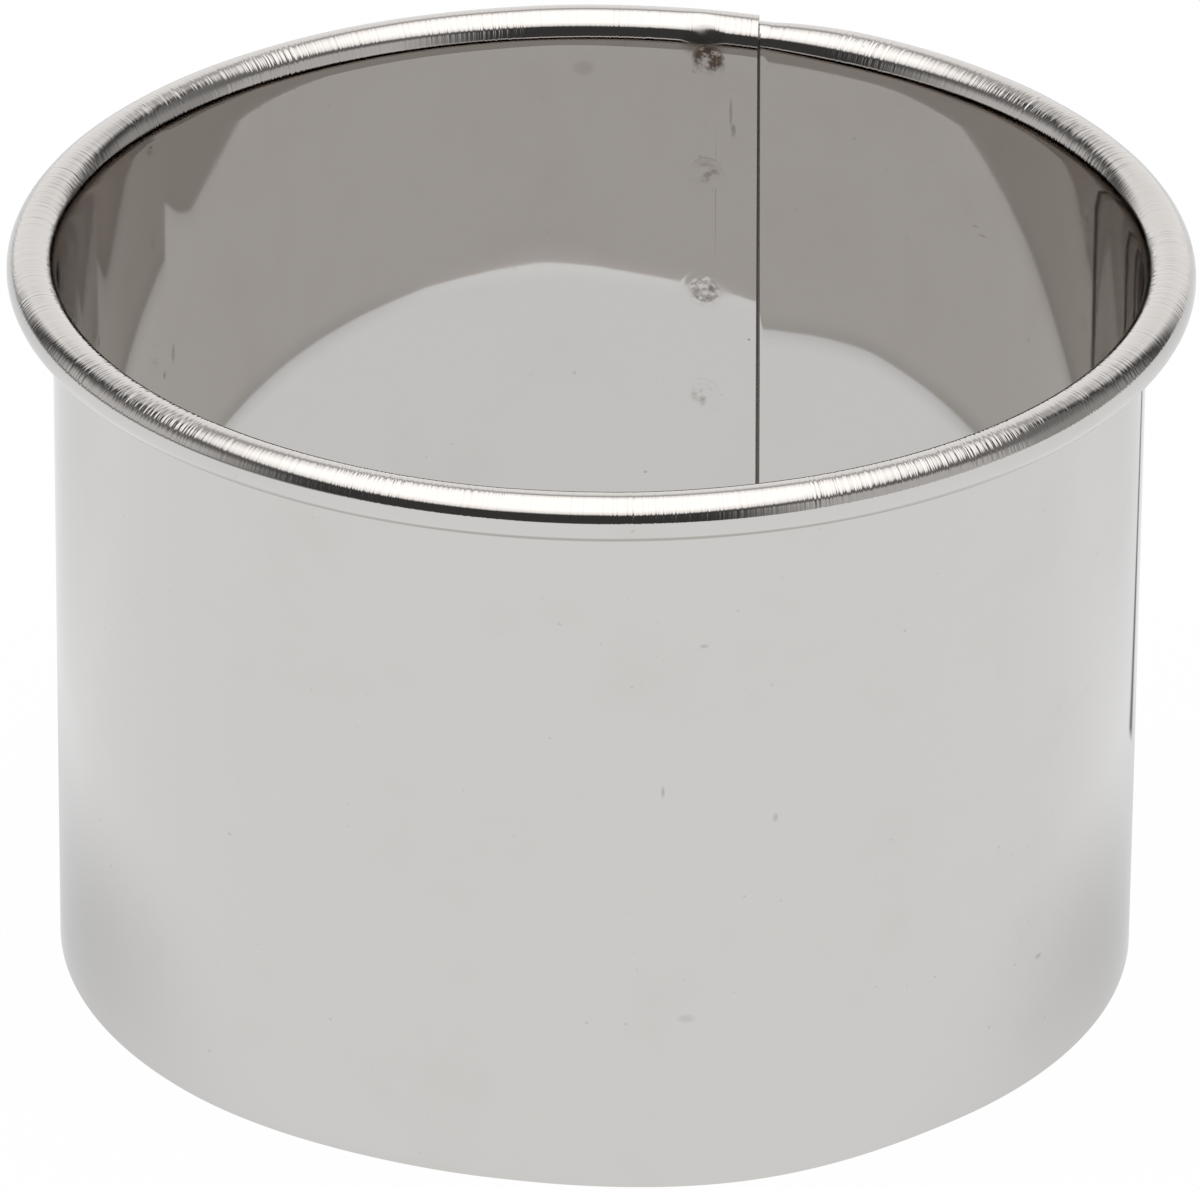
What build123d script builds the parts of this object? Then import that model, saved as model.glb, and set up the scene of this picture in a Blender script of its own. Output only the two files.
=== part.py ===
from build123d import *
import os
from math import acos, cos, degrees, radians, sin

# Biscuit cutter: one strip of thin stainless sheet rolled into a hoop, with a hollow bead curled
# outwards along its top edge, and its two ends lapped and spot welded in a row up the wall.
#
# Frame: +Z up, the cutting edge lies on Z = 0 and the origin is on the hoop's axis there.
# The front is at -Y and the seam is at the back, a little to the right of it.
# Lengths are millimetres. Bearings are degrees anticlockwise from +X, seen from above.

# Hoop
cutter_diameter = 88.9
cutter_height = 62.6
sheet = 0.4

# Curled bead, which starts in line with the inside of the wall
bead_diameter = 4.25
lip_clearance = 0.2

# Lapped seam, measured along the outside of the wall from the inner layer's end
seam_bearing = 72.5
lap_clearance = 0.05
lap_length = 9.2
joggle_length = 11.0
joggle_setback = 0.3
joggle_steps = 8

# Spot welds, whose heights are shares of the height of the row's top weld
weld_diameter = 3.0
weld_from_end = 4.5
weld_below_curl = 0.05
weld_row_shares = (0.11, 0.275, 0.475, 0.64, 0.825, 1)

# Radii and heights that follow from those
wall_outer_radius = cutter_diameter / 2
wall_inner_radius = wall_outer_radius - sheet
lap_shift = sheet + lap_clearance
lap_outer_radius = wall_outer_radius + lap_shift
bead_radius = bead_diameter / 2
curl_height = cutter_height - bead_radius
curl_centre_radius = wall_inner_radius + bead_radius

# The curl stops short of the wall, with room under its lip for the lap's outer layer
lip_reach = curl_centre_radius - lap_outer_radius - lip_clearance
curl_turn = 360 - degrees(acos(lip_reach / bead_radius))

# The weld holes end between the lap and the lip, and the top one just under the curl
weld_reach = lap_outer_radius + lip_clearance / 2
weld_hole_start = wall_inner_radius - sheet
weld_row_top = curl_height - weld_diameter / 2 - weld_below_curl


def turn_along_wall(length):
    """Angle about the axis that a length along the outside of the wall covers."""
    return degrees(length / wall_outer_radius)


joggle_end = seam_bearing - turn_along_wall(joggle_setback)
joggle_start = joggle_end - turn_along_wall(joggle_length)
lap_end = seam_bearing + turn_along_wall(lap_length)
weld_bearing = seam_bearing + turn_along_wall(weld_from_end)
weld_heights = [share * weld_row_top for share in weld_row_shares]


def section_plane(bearing):
    """Upright plane through the axis, whose x runs outwards on that bearing and y runs up."""
    return Plane.XZ.rotated((0, 0, bearing))


def strip_section(bearing, shift, thickness):
    """The sheet cut across: its wall and its curl, with the inside face moved out by shift."""
    wall_inside = wall_inner_radius + shift
    wall_outside = wall_inside + thickness
    curl_centre = (curl_centre_radius, curl_height)
    half_turn = curl_turn / 2
    with BuildSketch(section_plane(bearing)) as section:
        with BuildLine():
            Line((wall_inside, 0), (wall_inside, curl_height))
            Line((wall_outside, 0), (wall_outside, curl_height))
            Line((wall_inside, 0), (wall_outside, 0))
            lips = []
            for depth in (shift, shift + thickness):
                CenterArc(curl_centre, bead_radius - depth, 180, -half_turn)
                lips.append(CenterArc(curl_centre, bead_radius - depth, 180 - half_turn, -half_turn))
            Line(lips[0] @ 1, lips[1] @ 1)
        make_face()
    return section.sketch


def weld_plane(height):
    """Upright plane where the weld holes start, facing out along the weld's own axis."""
    outwards = Vector(cos(radians(weld_bearing)), sin(radians(weld_bearing)), 0)
    return Plane(origin=(0, 0, height), z_dir=outwards).offset(weld_hole_start)


# The strip: the inner layer and the rest of the hoop, the joggle, and the lap's outer layer.
# The joggle leans out ever more steeply, so that it is steepest where it meets the lap.
with BuildPart() as cutter_band:
    add(strip_section(seam_bearing, 0, sheet))
    revolve(axis=Axis.Z, revolution_arc=360 + joggle_start - seam_bearing)
    for step in range(joggle_steps + 1):
        share = step / joggle_steps
        bearing = joggle_start + share * (joggle_end - joggle_start)
        add(strip_section(bearing, share**2 * lap_shift, sheet))
    loft()
    add(strip_section(joggle_end, lap_shift, sheet))
    revolve(axis=Axis.Z, revolution_arc=lap_end - joggle_end)
    # holes through both layers, where the welds sit
    for height in weld_heights:
        with BuildSketch(weld_plane(height)):
            Circle(weld_diameter / 2)
    extrude(amount=weld_reach - weld_hole_start, mode=Mode.SUBTRACT)
cutter_band.part.label = "cutter_band"

os.makedirs("parts", exist_ok=True)
export_step(cutter_band.part, "parts/cutter_band.step")

# The welds: fused slugs that fill the holes, as thick as the two layers together
for number, height in enumerate(reversed(weld_heights), start=1):
    with BuildPart() as spot_weld:
        with BuildSketch(weld_plane(height)):
            Circle(weld_diameter / 2)
        extrude(amount=weld_reach - weld_hole_start)
        add(strip_section(seam_bearing, 0, lap_shift + sheet))
        revolve(axis=Axis.Z, revolution_arc=lap_end - seam_bearing, mode=Mode.INTERSECT)
    spot_weld.part.label = f"spot_weld_{number}"
    export_step(spot_weld.part, f"parts/spot_weld_{number}.step")
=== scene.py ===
import bpy
import math
from mathutils import Matrix, Vector


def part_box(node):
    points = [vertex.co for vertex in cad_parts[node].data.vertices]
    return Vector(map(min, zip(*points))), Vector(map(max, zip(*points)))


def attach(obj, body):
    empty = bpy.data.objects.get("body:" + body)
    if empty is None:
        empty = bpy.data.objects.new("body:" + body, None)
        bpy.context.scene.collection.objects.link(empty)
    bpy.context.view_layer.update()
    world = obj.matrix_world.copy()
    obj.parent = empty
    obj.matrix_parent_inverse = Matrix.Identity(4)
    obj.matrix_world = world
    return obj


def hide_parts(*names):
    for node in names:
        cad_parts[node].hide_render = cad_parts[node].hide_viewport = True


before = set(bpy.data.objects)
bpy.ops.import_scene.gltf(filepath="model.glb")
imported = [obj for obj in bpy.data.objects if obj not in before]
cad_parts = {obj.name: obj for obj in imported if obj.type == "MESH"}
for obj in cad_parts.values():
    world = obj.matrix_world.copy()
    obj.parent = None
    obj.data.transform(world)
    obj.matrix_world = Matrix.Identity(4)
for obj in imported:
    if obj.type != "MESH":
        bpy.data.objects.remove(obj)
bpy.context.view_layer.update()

# The strip: one length of bright rolled stainless sheet, bent round into a hoop. Its ends lap at
# the back, where the outer one joggles outwards to lie behind the inner one, and its top edge is
# curled outwards into a hollow bead, a little flattened below. Lengths are in metres.
sheet = 0.0004
wall_inside = 0.04405
lip_clearance = 0.0002
lap_clearance = 0.00005
lap_length = 0.0092
joggle_length = 0.011
joggle_setback = 0.0003
joggle_power = 2.5
seam_bearing = math.radians(72.5)

# the bead: what its radius loses from the right to the front, and again from there to the left,
# how high its lower half is beside the upper one, and how far its soft root reaches each way
bead_change = 0.00004
bead_squash = 0.9
root_length = 0.0011

# rolling the bead gathers the sheet into fine cross wrinkles, and the top weld pinches its root
wrinkle_depth = 0.000045
wrinkle_slant = 0.00012
dent_depth = 0.00026
dent_from_seam = 0.0049
dent_half_length = 0.0021

# the foot isn't quite round: it swells a little right of the front, and dips left of it and behind
front_swell = 0.00096
front_dip = 0.00036
back_dip = 0.0005

# the inner end wasn't cut quite square: it leans about a point this high, and more on the bead
lean_pivot = 0.0435
lean_per_metre = 0.32
bead_lean = 0.021
lean_length = 0.012

columns = 1380
wall_rows = 9
curl_rows = 26
rows = wall_rows + curl_rows

band_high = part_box("cutter_band")[1]
cutter_height = band_high.z
bead_reach = band_high.x - wall_inside
bead_root = cutter_height - bead_reach / 2
wall_outside = wall_inside + sheet
girth_of_hoop = math.tau * wall_outside
lap_shift = sheet + lap_clearance
lap_outside = wall_outside + lap_shift
joggle_end = seam_bearing + math.tau - joggle_setback / wall_outside
joggle_start = joggle_end - joggle_length / wall_outside
lap_end = seam_bearing + math.tau + lap_length / wall_outside


class Wire:
    """An output socket of a shader or geometry tree. Arithmetic on it adds Math nodes."""

    def __init__(self, socket):
        self.socket = socket
        self.tree = socket.id_data

    @staticmethod
    def node(tree, kind, settings, inputs, output=0):
        """Adds any node: its settings first, then the values or wires of its sockets."""
        made = tree.nodes.new(kind)
        for name, value in settings.items():
            setattr(made, name, value)
        for key, value in inputs.items():
            if isinstance(value, Wire):
                tree.links.new(value.socket, made.inputs[key])
            else:
                made.inputs[key].default_value = value
        return Wire(made.outputs[output])

    def beside(self, name):
        """Another output of the same node."""
        return Wire(self.socket.node.outputs[name])

    def to(self, socket):
        """Links this value to a node's input."""
        self.tree.links.new(self.socket, socket)

    def math(self, operation, *others):
        """A Math node on this value and up to two more."""
        values = dict(enumerate((self,) + others))
        return Wire.node(self.tree, "ShaderNodeMath", {"operation": operation}, values)

    def __add__(self, other):
        return self.math("ADD", other)

    __radd__ = __add__

    def __mul__(self, other):
        return self.math("MULTIPLY", other)

    __rmul__ = __mul__

    def __sub__(self, other):
        return self.math("SUBTRACT", other)

    def __rsub__(self, other):
        return self * -1 + other

    def __truediv__(self, other):
        return self.math("DIVIDE", other)

    def __rtruediv__(self, other):
        return self.math("POWER", -1) * other

    def __neg__(self):
        return self * -1

    def clamped(self):
        """This value, held between 0 and 1."""
        return self.math("MAXIMUM", 0).math("MINIMUM", 1)

    def ease(self, start, end, low=0.0, high=1.0):
        """Goes smoothly from low to high as this value goes from start to end."""
        inputs = {"Value": self, "From Min": start, "From Max": end, "To Min": low, "To Max": high}
        settings = {"interpolation_type": "SMOOTHSTEP"}
        return Wire.node(self.tree, "ShaderNodeMapRange", settings, inputs)

    def hump(self, centre, half_width):
        """One at the centre, falling smoothly to nothing half a width away on both sides."""
        return (self - centre).math("ABSOLUTE").ease(0, half_width, 1, 0)

    def noise(self, scale, detail=2.0, seed=0.0):
        """Noise along this one value, between 0 and 1, with features about 1/scale long."""
        inputs = {"W": self + seed, "Scale": scale, "Detail": detail, "Roughness": 0.55}
        return Wire.node(self.tree, "ShaderNodeTexNoise", {"noise_dimensions": "1D"}, inputs)


def split(tree, vector):
    """The three numbers of a vector."""
    first = Wire.node(tree, "ShaderNodeSeparateXYZ", {}, {0: vector}, "X")
    return first, first.beside("Y"), first.beside("Z")


def join(tree, first, second, third):
    """A vector made of three numbers."""
    return Wire.node(tree, "ShaderNodeCombineXYZ", {}, {0: first, 1: second, 2: third})


def around_axis(tree, radius, bearing, height):
    """The place this far from the hoop's axis, on this bearing and at this height."""
    return join(tree, radius * bearing.math("COSINE"), radius * bearing.math("SINE"), height)


def geometry_tree(name):
    """An empty geometry tree with its geometry sockets."""
    tree = bpy.data.node_groups.new(name, "GeometryNodeTree")
    tree.interface.new_socket("Geometry", in_out="INPUT", socket_type="NodeSocketGeometry")
    tree.interface.new_socket("Geometry", in_out="OUTPUT", socket_type="NodeSocketGeometry")
    tree.nodes.new("NodeGroupInput")
    return tree


def group_input(tree, name, value):
    """Adds a named number to a geometry tree's inputs and gives back its wire."""
    item = tree.interface.new_socket(name, in_out="INPUT", socket_type="NodeSocketFloat")
    item.default_value = value
    source = next(node for node in tree.nodes if node.type == "GROUP_INPUT")
    return Wire(next(socket for socket in source.outputs if socket.identifier == item.identifier))


def block(tree, columns, rows):
    """A cube cut into columns and rows, and how far along, across and deep each point lies."""
    size = {"Size": (1, 1, 1), "Vertices X": columns + 1, "Vertices Y": rows + 1, "Vertices Z": 2}
    cube = Wire.node(tree, "GeometryNodeMeshCube", {}, size)
    along, across, deep = split(tree, Wire.node(tree, "GeometryNodeInputPosition", {}, {}))
    return cube, along + 0.5, across + 0.5, deep + 0.5


def facing(tree):
    """The three numbers of the direction in which each face of a block points."""
    return split(tree, Wire.node(tree, "GeometryNodeInputNormal", {}, {}))


def keep(tree, geometry, name, value, domain="POINT"):
    """Stores a value on every point or face, for the material to read."""
    settings = {"data_type": "FLOAT", "domain": domain}
    inputs = {"Geometry": geometry, "Name": name, "Value": value}
    return Wire.node(tree, "GeometryNodeStoreNamedAttribute", settings, inputs)


def bend(tree, geometry, place):
    """Moves every point of a block to its place on the real piece."""
    inputs = {"Geometry": geometry, "Position": place}
    return Wire.node(tree, "GeometryNodeSetPosition", {}, inputs)


def finish_tree(tree, geometry, material):
    """Smooth faces with sharp cut edges, real geometry and the material, into the tree's output."""
    turn = Wire.node(tree, "GeometryNodeInputMeshEdgeAngle", {}, {})
    sharp = turn.math("GREATER_THAN", math.radians(50))
    smooth = Wire.node(tree, "GeometryNodeSetShadeSmooth", {"domain": "FACE"}, {0: geometry})
    inputs = {0: smooth, "Selection": sharp, "Shade Smooth": False}
    edged = Wire.node(tree, "GeometryNodeSetShadeSmooth", {"domain": "EDGE"}, inputs)
    real = Wire.node(tree, "GeometryNodeRealizeInstances", {}, {0: edged})
    done = Wire.node(tree, "GeometryNodeSetMaterial", {}, {0: real, "Material": material})
    done.to(tree.nodes.new("NodeGroupOutput").inputs[0])


def solidify(name, tree, values):
    """Runs a geometry tree with these input values and gives back its result as a plain mesh."""
    maker = bpy.data.objects.new(name + "_maker", bpy.data.meshes.new(name + "_maker"))
    bpy.context.scene.collection.objects.link(maker)
    modifier = maker.modifiers.new("shape", "NODES")
    modifier.node_group = tree
    for item in tree.interface.items_tree:
        if item.in_out == "INPUT" and item.name in values:
            modifier[item.identifier] = values[item.name]
    view = bpy.context.evaluated_depsgraph_get()
    mesh = bpy.data.meshes.new_from_object(maker.evaluated_get(view), depsgraph=view)
    bpy.data.objects.remove(maker)
    mesh.name = name
    piece = bpy.data.objects.new(name, mesh)
    bpy.context.scene.collection.objects.link(piece)
    return piece


def root_ease(girth, curl_height, bead):
    """How far out the sheet lies near the bead's root, where its bend begins and ends softly."""
    share = (girth - curl_height) * (1 / root_length)
    soft = (share * 0.5 + 0.5).clamped().math("POWER", 3) * (2 / 3)
    sudden = share.clamped().math("POWER", 2) * 0.5
    return (soft - sudden) * (root_length**2 / bead)


def out_of_round(bearing, height):
    """How far the wall stands out beyond a true hoop: nothing at the bead, and most at the foot."""
    in_front = bearing.hump(math.radians(285.4), math.radians(26)) * front_swell
    beside = bearing.hump(math.radians(246), math.radians(24)) * front_dip
    behind = bearing.math("SINE").math("MAXIMUM", 0).math("POWER", 2)
    near_seam = bearing.math("MODULO", math.tau).hump(math.radians(62), math.radians(50))
    towards_foot = (1 - height * (1 / cutter_height)).math("MAXIMUM", 0)
    return (in_front - beside - (behind + near_seam) * back_dip) * towards_foot


def patches(arc):
    """How strong the lines across the bead are: they come in patches along it."""
    return arc.noise(75, 1.0, 2.0).ease(0.38, 0.6, 0.35, 1.1)


strip_tree = geometry_tree("rolled_strip")
in_wall = group_input(strip_tree, "Wall inside radius", wall_inside)
in_height = group_input(strip_tree, "Height", cutter_height)
in_reach = group_input(strip_tree, "Bead reach", bead_reach)
in_change = group_input(strip_tree, "Bead radius change", bead_change)
in_squash = group_input(strip_tree, "Lower half's height", bead_squash)
in_sheet = group_input(strip_tree, "Sheet", sheet)
in_shift = group_input(strip_tree, "Lap shift", lap_shift)
in_wrinkle = group_input(strip_tree, "Wrinkle depth", wrinkle_depth)
in_dent = group_input(strip_tree, "Dent depth", dent_depth)

flat_strip, along, across, deep = block(strip_tree, columns, rows)
bearing = along * (lap_end - seam_bearing) + seam_bearing
arc = (bearing - seam_bearing) * wall_outside
joggle_share = ((bearing - joggle_start) / (joggle_end - joggle_start)).clamped()
depth = joggle_share.math("POWER", joggle_power) * in_shift + deep * in_sheet

# the bead is fullest at the right, and a trace smaller than its reach to make room for its root
root_room = root_length**2 / (6 * bead_reach)
bead = in_reach / 2 - (1 - bearing.math("COSINE")) * in_change - root_room
curl_height = in_height - bead
lip_reach = in_wall + bead - lap_outside - lip_clearance
curl_turn = math.tau - (lip_reach / bead).math("ARCCOSINE")

# up the wall, with rows that crowd towards the root, and then round the curl
wall_share = 1 - (1 - (across * (rows / wall_rows)).math("MINIMUM", 1)).math("POWER", 4)
curl_share = ((across * rows - wall_rows) / curl_rows).math("MAXIMUM", 0)
curl_angle = curl_share * curl_turn
girth = wall_share * curl_height + curl_angle * bead

slanted = arc + curl_angle * wrinkle_slant
gathered = slanted.noise(1500, 1.5) * 0.75 + slanted.noise(330, 1.0, 7.0) * 0.25
wrinkled = curl_share.ease(0, 0.12) * curl_share.ease(0.44, 0.58, 1, 0)
wrinkle = gathered * patches(arc) * in_wrinkle * wrinkled
pinched = arc.math("MODULO", girth_of_hoop).hump(dent_from_seam, dent_half_length)
dent = pinched * curl_share.hump(0.1, 0.17) * wall_share.math("POWER", 8) * in_dent
rolled = bead - depth - wrinkle - dent

rise = curl_angle.math("SINE")
squashed_rise = rise.math("MAXIMUM", 0) + rise.math("MINIMUM", 0) * in_squash
height = wall_share * curl_height + rolled * squashed_rise
radius = in_wall + bead - rolled * curl_angle.math("COSINE")
radius = radius + root_ease(girth, curl_height, bead) + out_of_round(bearing, height)
askew = (girth - lean_pivot) * lean_per_metre + curl_share.ease(0, 0.6) * bead_lean
turn = bearing + arc.ease(0, lean_length, 1, 0) * askew

# the material reads these, so they are stored before the block is bent; the strip was cut at its
# four narrow faces
cut = 1 - facing(strip_tree)[2].math("ABSOLUTE")
kept = keep(strip_tree, flat_strip, "along", arc)
kept = keep(strip_tree, kept, "across", girth)
kept = keep(strip_tree, kept, "outside", deep)
kept = keep(strip_tree, kept, "cut", cut, "FACE")
rolled_strip = bend(strip_tree, kept, around_axis(strip_tree, radius, turn, height))

# Its steel: bright, nearly mirror-like, warm where it reflects itself. It has faint rub marks and
# specks, and the bead, where it was worked hardest, is dulled by fine lines that run across it.
steel_colour = (0.6, 0.572, 0.55, 1)
brown = (0.33, 0.27, 0.22, 1)
grey = (0.2, 0.17, 0.15, 1)
line_slant = 0.06
fine_line_depth = 0.000004
deep_line_depth = 0.000034
wave_depth = 0.0000016
ring_depth = 0.0000012
ring_radius = 0.0019

# the welds' row, up the middle of the lap: their heights are shares of the top weld's
weld_from_seam = 0.0045
weld_radius = 0.0015
weld_below_curl = 0.00005
weld_row_shares = (0.11, 0.275, 0.475, 0.64, 0.825, 1)
weld_row_top = bead_root - weld_radius - weld_below_curl
weld_heights = [share * weld_row_top for share in weld_row_shares]


def stored(tree, name):
    """A value that was stored on the mesh."""
    return Wire.node(tree, "ShaderNodeAttribute", {"attribute_name": name}, {}, "Fac")


def grain(tree, place, scale, detail=2.0, roughness=0.5):
    """Cloudy noise over the surface, between 0 and 1."""
    inputs = {"Vector": place, "Scale": scale, "Detail": detail, "Roughness": roughness}
    return Wire.node(tree, "ShaderNodeTexNoise", {}, inputs)


def blend(tree, share, first, second):
    """Mixes two colours: a share of 1 gives the second."""
    return Wire.node(tree, "ShaderNodeMix", {"data_type": "RGBA"}, {0: share, 6: first, 7: second}, 2)


def bump(tree, relief):
    """Shades the surface as though it stood out by this relief, in metres."""
    inputs = {"Strength": 1.0, "Distance": 1.0, "Height": relief}
    return Wire.node(tree, "ShaderNodeBump", {}, inputs)


def metal(material, colour, roughness, normal):
    """Makes a new material a metal, and gives back its shader."""
    shader = material.node_tree.nodes["Principled BSDF"]
    shader.inputs["Metallic"].default_value = 1
    colour.to(shader.inputs["Base Color"])
    roughness.to(shader.inputs["Roughness"])
    normal.to(shader.inputs["Normal"])
    return shader


steel = bpy.data.materials.new("rolled_stainless")
steel.use_nodes = True
skin = steel.node_tree
along = stored(skin, "along")
across = stored(skin, "across")
cut_edge = stored(skin, "cut")
surface = join(skin, along, across, stored(skin, "outside"))

# the two faces as the surface knows them; a mark on one is this many half sizes from the other
inner = 0
outer = 1
face_stretch = 3


def mark(degrees, height, length, width, face):
    """A soft patch on one face: its bearing, its height, half its length and half its width."""
    arc_length = (math.radians(degrees) - seam_bearing) % math.tau * wall_outside
    stretch = Vector((1 / length, 1 / width, face_stretch))
    centre = Vector((arc_length / length, height / width, face_stretch * face))
    inputs = {0: surface, 1: stretch, 2: -centre}
    placed = Wire.node(skin, "ShaderNodeVectorMath", {"operation": "MULTIPLY_ADD"}, inputs)
    away = Wire.node(skin, "ShaderNodeVectorMath", {"operation": "LENGTH"}, {0: placed}, "Value")
    return away.ease(0.3, 1, 1, 0)


# the rub marks that can be told apart: those on the inside, then the front's
rubs = [
    mark(78.7, 0.0606, 0.0026, 0.0017, inner) * 0.9,
    mark(77.2, 0.0468, 0.00007, 0.0078, inner) * 0.5,
    mark(75.5, 0.0545, 0.0002, 0.0018, inner) * 0.6,
    mark(75.2, 0.0529, 0.0003, 0.0008, inner) * 0.8,
    mark(84.8, 0.0203, 0.00022, 0.00018, inner),
    mark(92.0, 0.0579, 0.0013, 0.0009, inner) * 0.3,
    mark(144.2, 0.0397, 0.0003, 0.0011, inner) * 0.7,
    mark(145.8, 0.0381, 0.0003, 0.0005, inner) * 0.7,
    mark(160.2, 0.0459, 0.0003, 0.0008, inner) * 0.6,
    mark(73.3, 0.0337, 0.00018, 0.00016, inner),
    mark(44.5, 0.0497, 0.0005, 0.00012, inner) * 0.6,
    mark(43.4, 0.0491, 0.0006, 0.00012, inner) * 0.6,
    mark(-36.0, 0.0112, 0.0006, 0.0003, outer) * 0.6,
    mark(-79.1, 0.0482, 0.0005, 0.00024, outer) * 0.5,
    mark(-71.5, 0.0324, 0.0003, 0.0005, outer) * 0.5,
    mark(-83.2, 0.0355, 0.0002, 0.0007, outer) * 0.6,
    mark(-80.6, 0.0152, 0.0009, 0.0005, outer) * 0.3,
]
rubbed = rubs[0]
for rub in rubs[1:]:
    rubbed = rubbed.math("MAXIMUM", rub)

cloud = grain(skin, surface, 75, 3.0, 0.6)
fleck = grain(skin, surface, 1300, 1.0)
specks = (fleck + cloud * 0.25).ease(0.88, 0.97)
smudges = cloud.ease(0.5, 0.72)
dirt = (specks * 0.4).math("MAXIMUM", rubbed * fleck.ease(0.2, 0.5, 0.4, 1))

# each weld leaves a heat tint on both faces and, on the side away from the seam, half a shallow
# ring, where the electrode pressed
from_weld = (across - weld_heights[0]).math("ABSOLUTE")
for weld_height in weld_heights[1:]:
    from_weld = from_weld.math("MINIMUM", (across - weld_height).math("ABSOLUTE"))
from_row = along.math("MODULO", girth_of_hoop) - weld_from_seam
weld_away = (from_weld * from_weld + from_row * from_row).math("SQRT")
ring = weld_away.hump(ring_radius, 0.0004) * from_row.ease(0.0002, 0.0013)
tint = weld_away.ease(0.0008, 0.003, 1, 0)
burr = tint * fleck

# the lines across the bead start at its root and end where the curl turns under
curled = across - bead_root
on_bead = curled.ease(-0.00018, 0.00132)
worked = on_bead * curled.ease(0.00532, 0.00672, 1, 0.05)
slanted = along + across * line_slant
fine_lines = slanted.noise(6500, 1.0, 3.0)
deep_lines = slanted.noise(3400, 1.0, 5.0)
lines = (fine_lines * fine_line_depth + deep_lines * deep_line_depth) * patches(along)
grooves = (fine_lines * 0.5 + deep_lines * 0.5).ease(0.5, 0.66) * worked
waves = grain(skin, surface, 210, 1.0) * wave_depth
relief = waves + lines * worked - ring * ring_depth

clean = blend(skin, smudges * 0.05 + grooves * 0.15, steel_colour, brown)
heated = blend(skin, burr.ease(0.42, 0.7) * 0.7, clean, brown)
soiled = blend(skin, (dirt * 0.6).math("MAXIMUM", cut_edge * 0.85), heated, grey)
shine = 0.035 + smudges * 0.012 + on_bead * 0.035 + dirt * 0.15 + tint * 0.05 + cut_edge * 0.35
rolled_shader = metal(steel, soiled, shine, bump(skin, relief))
rolled_shader.inputs["Anisotropic"].default_value = 0.9

finish_tree(strip_tree, rolled_strip, steel)
strip = solidify("steel_strip", strip_tree, {})
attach(strip, "root")
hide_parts("cutter_band")

# The spot welds: six fused slugs in a row up the lap, made by squeezing its two layers between
# electrodes. Each lies flush with both faces, with a shallow, uneven crater in its middle.
weld_columns = 56
weld_rows = 16
crater_depth = 0.00003
weld_proud = 0.000006
merge_distance = 0.000002
weld_bearing = seam_bearing + weld_from_seam / wall_outside

weld_tree = geometry_tree("spot_weld")
in_place = group_input(weld_tree, "Height", 0.0)
in_radius = group_input(weld_tree, "Radius", weld_radius)
in_strength = group_input(weld_tree, "Crater strength", 1.0)
in_seed = group_input(weld_tree, "Seed", 0.0)
in_scorch = group_input(weld_tree, "Scorch", 0.0)

# a block that closes round into a disc, without the three narrow sides that would lie inside it:
# the two ends that meet, and the side that shrinks to the disc's axis
solid_block, around, outwards, deep = block(weld_tree, weld_columns, weld_rows)
face_along, face_across = facing(weld_tree)[:2]
inner_walls = (face_along.math("ABSOLUTE") - face_across).math("GREATER_THAN", 0.5)
chosen = {0: solid_block, 1: inner_walls}
open_block = Wire.node(weld_tree, "GeometryNodeDeleteGeometry", {"domain": "FACE"}, chosen)
angle = around * math.tau
sideways = outwards * in_radius * angle.math("COSINE")
upright = outwards * in_radius * angle.math("SINE")
height = upright + in_place

grit = grain(weld_tree, join(weld_tree, sideways, upright, deep + in_seed), 1500, 3.0, 0.6)
uneven = outwards.hump(0.6, 0.32) * grit.ease(0.3, 0.75, -0.3, 1.0)
hollow = outwards.ease(0.0, 0.5, 1, 0) * 0.5
crest = (uneven - hollow) * in_strength * crater_depth + weld_proud
inner_face = wall_inside - crest
outer_face = lap_outside + crest
turn = sideways / wall_outside + weld_bearing
radius = inner_face + (outer_face - inner_face) * deep + out_of_round(turn, height)
radius = radius + root_ease(height, bead_root, bead_reach / 2)

middle = outwards.ease(0.35, 0.95, 1, 0) * in_strength
burnt = upright.ease(-0.0012, 0.001) * outwards.ease(0.5, 1, 1, 0.45) * in_scorch
scarred = keep(weld_tree, open_block, "middle", middle)
scarred = keep(weld_tree, scarred, "scorch", burnt)
shaped = bend(weld_tree, scarred, around_axis(weld_tree, radius, turn, height))
closing = {"Geometry": shaped, "Distance": merge_distance}
joined = Wire.node(weld_tree, "GeometryNodeMergeByDistance", {}, closing)

# Its own steel: like the strip's at the rim, duller and brown with heat towards the middle.
burnt_brown = (0.17, 0.13, 0.1, 1)
scale_depth = 0.00001
weld_steel = bpy.data.materials.new("spot_weld_steel")
weld_steel.use_nodes = True
fused = weld_steel.node_tree
middle = stored(fused, "middle")
scorch = stored(fused, "scorch")
scale = grain(fused, Wire.node(fused, "ShaderNodeTexCoord", {}, {}, "Object"), 1100, 3.0, 0.65)
scorched = scale.ease(0.45, 0.68) * middle + scale.ease(0.36, 0.6) * scorch
heat = blend(fused, (scorched * 0.8).math("MINIMUM", 1), steel_colour, burnt_brown)
shine = 0.08 + scorched * 0.22 + middle * 0.08
metal(weld_steel, heat, shine, bump(fused, scale * middle * scale_depth))
finish_tree(weld_tree, joined, weld_steel)

# from the top weld down: how deep each one's crater is and how badly its upper half is scorched
crater_strengths = (0.8, 0.45, 1.0, 0.5, 0.4, 0.4)
scorch_strengths = (2.0, 0.25, 0.1, 0.0, 0.0, 0.0)
for number, weld_height in enumerate(reversed(weld_heights), start=1):
    values = {"Height": weld_height, "Seed": float(number)}
    values["Crater strength"] = crater_strengths[number - 1]
    values["Scorch"] = scorch_strengths[number - 1]
    weld = solidify(f"weld_mark_{number}", weld_tree, values)
    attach(weld, "root")
    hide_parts(f"spot_weld_{number}")
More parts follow.
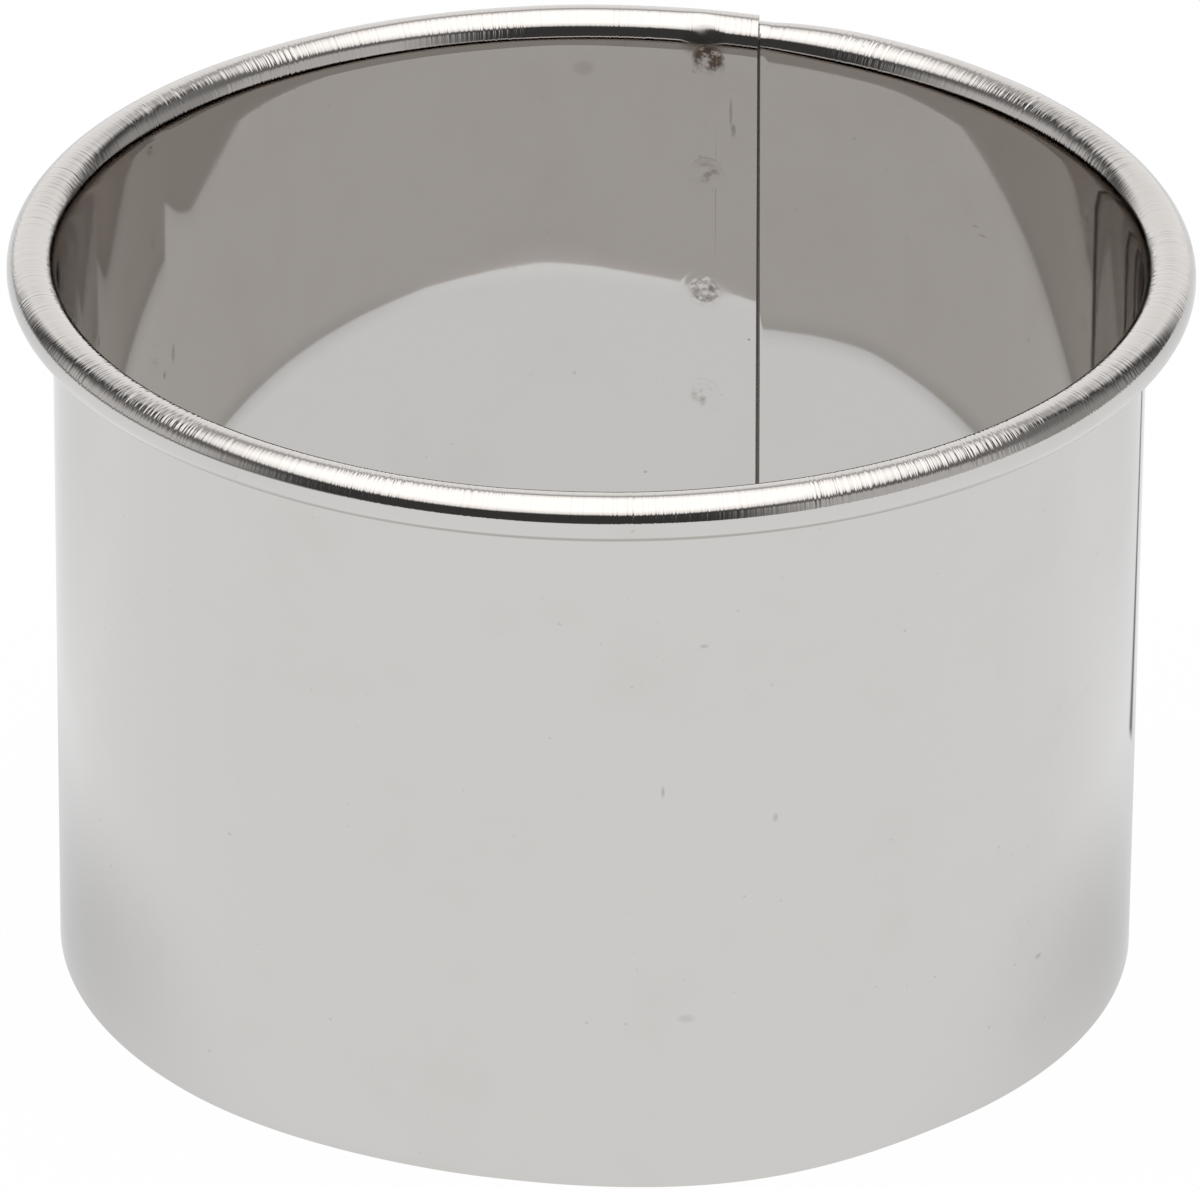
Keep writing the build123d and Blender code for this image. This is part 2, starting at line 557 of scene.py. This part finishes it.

# The floor: a white paper sheet that looks plain white to the camera. The metal shows it ending in
# front and to the left, with painted shade inside the hoop and close behind it, and a thin dark line
# behind it on the right.
floor_reach = 3.0
white = (1, 1, 1, 1)
paper_white = (0.85, 0.85, 0.85, 1)
cool_white = (1.0, 1.025, 1.04, 1)
dark_line_east = 0.0483
dark_line_slant = 0.25
dark_line_half_width = 0.0036
dark_line_darkness = 0.85

corners = [(-floor_reach, -floor_reach, 0), (floor_reach, -floor_reach, 0)]
corners += [(floor_reach, floor_reach, 0), (-floor_reach, floor_reach, 0)]
floor_mesh = bpy.data.meshes.new("floor")
floor_mesh.from_pydata(corners, [], [(0, 1, 2, 3)])
floor = bpy.data.objects.new("floor", floor_mesh)
bpy.context.scene.collection.objects.link(floor)
paper = bpy.data.materials.new("white_floor")
paper.use_nodes = True
paper.cycles.emission_sampling = "NONE"
paper_tree = paper.node_tree
paper_tree.nodes.clear()
spot = Wire.node(paper_tree, "ShaderNodeTexCoord", {}, {}, "Object")
east, north = split(paper_tree, spot)[:2]
on_paper = north.ease(-2.2, -0.7, 0.06, 1) * east.ease(-0.75, -0.32, 0.25, 1)

# painted shade: the floor's glow, as the metal shows it, is dimmed inside the hoop and close beside
# and behind its foot, as though the cutter shaded it
from_middle = (east * east + north * north).math("SQRT")
around_hoop = from_middle.ease(0.040, 0.046)
painted_shade_near_foot = from_middle.ease(0.044, 0.075, 0.3, 0) * north.ease(-0.04, 0)
behind = (north / from_middle).ease(0.25, 0.75) * 0.14
shade = around_hoop * (painted_shade_near_foot + behind) + (1 - around_hoop) * 0.1
# a thin dark line on the floor, behind the cutter and to its right, which only the metal shows
dark_line_runs = north.ease(0.031, 0.034) * north.ease(0.1, 0.13, 1, 0)
dark_line = (east - north * dark_line_slant).hump(dark_line_east, dark_line_half_width) * dark_line_runs
reflected = on_paper * (1 - shade) * (1 - dark_line * dark_line_darkness)

camera_ray = Wire.node(paper_tree, "ShaderNodeLightPath", {}, {}, "Is Camera Ray")
glossy_ray = camera_ray.beside("Is Glossy Ray")
seen = (camera_ray + glossy_ray + camera_ray.beside("Is Transmission Ray")).math("MINIMUM", 1)
brightness = camera_ray + (1 - camera_ray) * reflected
diffuse = Wire.node(paper_tree, "ShaderNodeBsdfDiffuse", {}, {"Color": paper_white})
lit = {"Color": blend(paper_tree, glossy_ray, white, cool_white), "Strength": brightness}
glow = Wire.node(paper_tree, "ShaderNodeEmission", {}, lit)
mixed = Wire.node(paper_tree, "ShaderNodeMixShader", {}, {0: seen * 0.98, 1: diffuse, 2: glow})
mixed.to(paper_tree.nodes.new("ShaderNodeOutputMaterial").inputs["Surface"])
floor_mesh.materials.append(paper)

# The studio: a wide light overhead, a bright wall behind the cutter, a dark room in front, grey
# panels at both sides with dark gaps beside them, and a dark gap under the light at the back.
# Its angles are degrees: up from the floor, and round from the front towards the right.
world = bpy.data.worlds.new("studio")
bpy.context.scene.world = world
world.use_nodes = True
world.cycles.sampling_method = "NONE"
sky = world.node_tree
sky.nodes.clear()
east, north, up = split(sky, Wire.node(sky, "ShaderNodeTexCoord", {}, {}, "Generated"))
elevation = up.math("ARCSINE") * math.degrees(1)
turned = east.math("ARCTAN2", -north) * math.degrees(1)
left_panel = turned.ease(-130, -114) * turned.ease(-86, -52, 1, 0) * elevation.ease(12, 33, 0.62, 0.12)
right_panel = turned.ease(20, 46) * turned.ease(78, 90, 1, 0) * elevation.ease(26, 36, 0.57, 0.12)
right_side = turned.ease(78, 90) * turned.ease(114, 130, 1, 0) * elevation.ease(15, 35, 0.33, 0.16)
back_wall = turned.math("ABSOLUTE").ease(129, 147) * elevation.ease(30, 47, 1.04, 0.4)
room = 0.055 + left_panel + right_panel + right_side + back_wall

# the light's edge is tilted: lowest at the front left, highest at the back right, with one rise
# at the back left
light_edge = 43.5 - ((turned + 38) * math.radians(1)).math("COSINE") * 6.2
above_edge = elevation - light_edge - turned.hump(-140, 45) * 7
overhead = above_edge.ease(-4, 4) * (1.1 + above_edge.ease(-4, 20) * 0.7)
level = room * above_edge.ease(-4, 4, 1, 0) + overhead
camera_ray = Wire.node(sky, "ShaderNodeLightPath", {}, {}, "Is Camera Ray")
strength = level + (1 - level) * camera_ray
background = Wire.node(sky, "ShaderNodeBackground", {}, {"Color": white, "Strength": strength})
background.to(sky.nodes.new("ShaderNodeOutputWorld").inputs["Surface"])

# The camera: a long lens from the front and above, aimed so that the object sits in the picture
# as it does in the photograph, a trace left of the middle and rolled by half a degree.
camera_elevation = math.radians(26.874)
camera_roll = math.radians(0.505)
camera_distance = 1.0502
aim_right = 0.000196
aim_below = 0.000757
photo_width_in_pixels = 1200
focal_length_in_pixels = 12783.9

picture_up = Vector((0, math.sin(camera_elevation), math.cos(camera_elevation)))
back = Vector((0, -math.cos(camera_elevation), math.sin(camera_elevation)))
aim = Vector((aim_right, 0, cutter_height / 2)) - aim_below * picture_up
unrolled = back.to_track_quat("Z", "Y").to_matrix().to_4x4()
camera_data = bpy.data.cameras.new("camera")
camera_data.sensor_width = 36
camera_data.lens = focal_length_in_pixels / photo_width_in_pixels * camera_data.sensor_width
camera_data.clip_end = 20
camera = bpy.data.objects.new("camera", camera_data)
roll = Matrix.Rotation(camera_roll, 4, "Z")
camera.matrix_world = Matrix.Translation(aim + camera_distance * back) @ unrolled @ roll
bpy.context.scene.collection.objects.link(camera)

scene = bpy.context.scene
scene.camera = camera
scene.view_settings.view_transform = "Standard"
scene.cycles.glossy_bounces = 12
scene.cycles.max_bounces = 12
